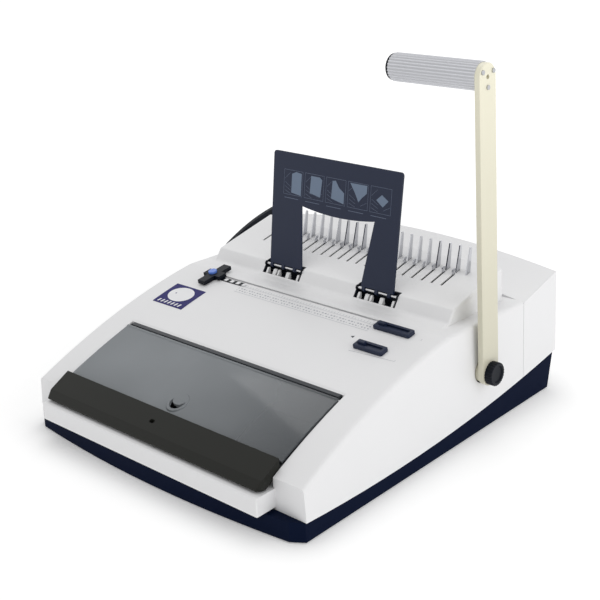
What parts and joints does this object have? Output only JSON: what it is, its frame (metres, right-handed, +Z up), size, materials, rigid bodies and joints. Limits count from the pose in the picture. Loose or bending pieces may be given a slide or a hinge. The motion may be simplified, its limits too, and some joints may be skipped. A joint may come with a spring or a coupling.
{
  "type": "comb binding machine",
  "caption": "Desktop paper punch and comb binding machine with a long pull handle, comb-opening fingers and lever, folding paper rest, smoked cover and press bar.",
  "frame": {"origin": "on the desk, under the middle of the overall box", "axes": "+X to the machine's right, +Y to its back, +Z up"},
  "size_m": [0.4594, 0.47, 0.4206],
  "materials": {
    "arm_cream": "satin enamel",
    "bar_olive": "satin",
    "base_navy": "fine texture",
    "black_plastic": "moulded",
    "bronze": "sintered",
    "button_blue": "moulded",
    "finger_silver": "nickel plated",
    "grip_grey": "moulded",
    "housing_white": "fine texture",
    "label_violet": "printed film",
    "navy_plastic": "fine texture",
    "rubber_black": "moulded",
    "smoke_clear": "polished smoked acrylic",
    "steel_black": "black oxide",
    "steel_ground": "ground",
    "steel_plate": "zinc plated",
    "tray_grey": "moulded"
  },
  "bodies": {
    "frame": {"base_tray": "base_navy", "rubber_feet": "rubber_black", "base_screws": "steel_plate", "front_housing": "housing_white", "wire_ledge": "housing_white", "rear_cover": "housing_white", "storage_tray": "tray_grey", "hinge_strip": "tray_grey", "cover_pins": "steel_ground", "side_frame_left": "steel_plate", "side_frame_right": "steel_plate", "tie_rods": "steel_ground", "front_die": "steel_black", "rear_die": "steel_black", "die_stop": "steel_ground", "finger_rail": "finger_silver", "comb_fingers": "finger_silver", "margin_scale": "black_plastic", "corner_label": "label_violet", "panel_sockets": "black_plastic", "socket_ribs": "housing_white", "paper_rest_rods": "steel_ground", "shaft_bushes": "bronze", "comb_shaft_bushes": "bronze", "pattern_slide_plate": "navy_plastic", "mode_slide_plate": "navy_plastic", "return_spring": "steel_ground"},
    "handle": {"handle_arm": "arm_cream", "grip_core": "steel_ground", "grip_sleeve": "grip_grey", "grip_end_cap": "black_plastic", "arm_screws": "steel_plate", "main_shaft": "steel_ground", "punch_pinions": "steel_ground", "handle_hub": "black_plastic"},
    "clamp_knob": {"clamp_knob": "black_plastic"},
    "punch_slide": {"punch_bar": "steel_ground", "punch_pins": "steel_ground", "punch_racks": "steel_ground"},
    "comb_lever": {"comb_lever": "black_plastic", "comb_shaft": "steel_ground", "comb_pinions": "steel_ground", "lever_knob": "black_plastic", "lever_spacer": "black_plastic"},
    "hook_carriage": {"hook_carriage": "steel_black", "comb_hooks": "finger_silver", "carriage_racks": "steel_ground"},
    "smoked_cover": {"smoked_cover": "smoke_clear"},
    "press_bar": {"press_bar": "bar_olive", "press_guides": "steel_ground"},
    "paper_rest": {"paper_rest": "navy_plastic"},
    "margin_guide": {"margin_guide": "black_plastic"},
    "margin_button": {"margin_button": "button_blue"},
    "pattern_knob": {"pattern_knob": "navy_plastic"},
    "mode_knob": {"mode_knob": "navy_plastic"},
    "chip_drawer": {"chip_drawer": "base_navy"}
  },
  "joints": [
    {"name": "handle_pull", "type": "hinge", "parent": "frame", "child": "handle", "pos_m": [0, 0.0787, 0.0733], "axis": [1, 0, 0], "range_deg": [0, 70], "stiffness_Nm_per_rad": 3, "springref_deg": -11.46},
    {"name": "knob_turn", "type": "hinge", "parent": "handle", "child": "clamp_knob", "pos_m": [0.225, 0.0787, 0.0733], "axis": [1, 0, 0], "range_deg": [0, 360]},
    {"name": "punch_slide", "type": "slide", "parent": "frame", "child": "punch_slide", "axis": [0, -1, 0], "range_m": [0, 0.01284]},
    {"name": "comb_lever_lift", "type": "hinge", "parent": "frame", "child": "comb_lever", "pos_m": [0, 0.102, 0.12], "axis": [1, 0, 0], "range_deg": [0, 60]},
    {"name": "hook_slide", "type": "slide", "parent": "frame", "child": "hook_carriage", "axis": [0, -0.9711, -0.2385], "range_m": [0, 0.0228]},
    {"name": "cover_open", "type": "hinge", "parent": "frame", "child": "smoked_cover", "pos_m": [0, -0.1132, 0.0974], "axis": [-1, 0, 0], "range_deg": [0, 100]},
    {"name": "press_bar_travel", "type": "slide", "parent": "frame", "child": "press_bar", "axis": [0, 0, -1], "range_m": [0, 0.0014], "stiffness_N_per_m": 800, "springref_m": -0.01},
    {"name": "paper_rest_fold", "type": "hinge", "parent": "frame", "child": "paper_rest", "pos_m": [0, 0.0545, 0.1436], "axis": [1, 0, 0], "range_deg": [0, 97]},
    {"name": "margin_slide", "type": "slide", "parent": "frame", "child": "margin_guide", "axis": [1, 0, 0], "range_m": [-0.004, 0.02]},
    {"name": "margin_button_press", "type": "slide", "parent": "margin_guide", "child": "margin_button", "axis": [0, 0, -1], "range_m": [0, 0.0015], "stiffness_N_per_m": 400, "springref_m": -0.002},
    {"name": "pattern_select", "type": "slide", "parent": "frame", "child": "pattern_knob", "axis": [1, 0, 0], "range_m": [-0.0015, 0.03]},
    {"name": "mode_select", "type": "slide", "parent": "frame", "child": "mode_knob", "axis": [1, 0, 0], "range_m": [-0.0012, 0.022]},
    {"name": "chip_drawer_pull", "type": "slide", "parent": "frame", "child": "chip_drawer", "axis": [-1, 0, 0], "range_m": [0, 0.3]}
  ],
  "couplings": [
    {"joint": "punch_slide", "follows": "handle_pull", "m_per_rad": 0.0105},
    {"joint": "hook_slide", "follows": "comb_lever_lift", "m_per_rad": 0.02175}
  ]
}
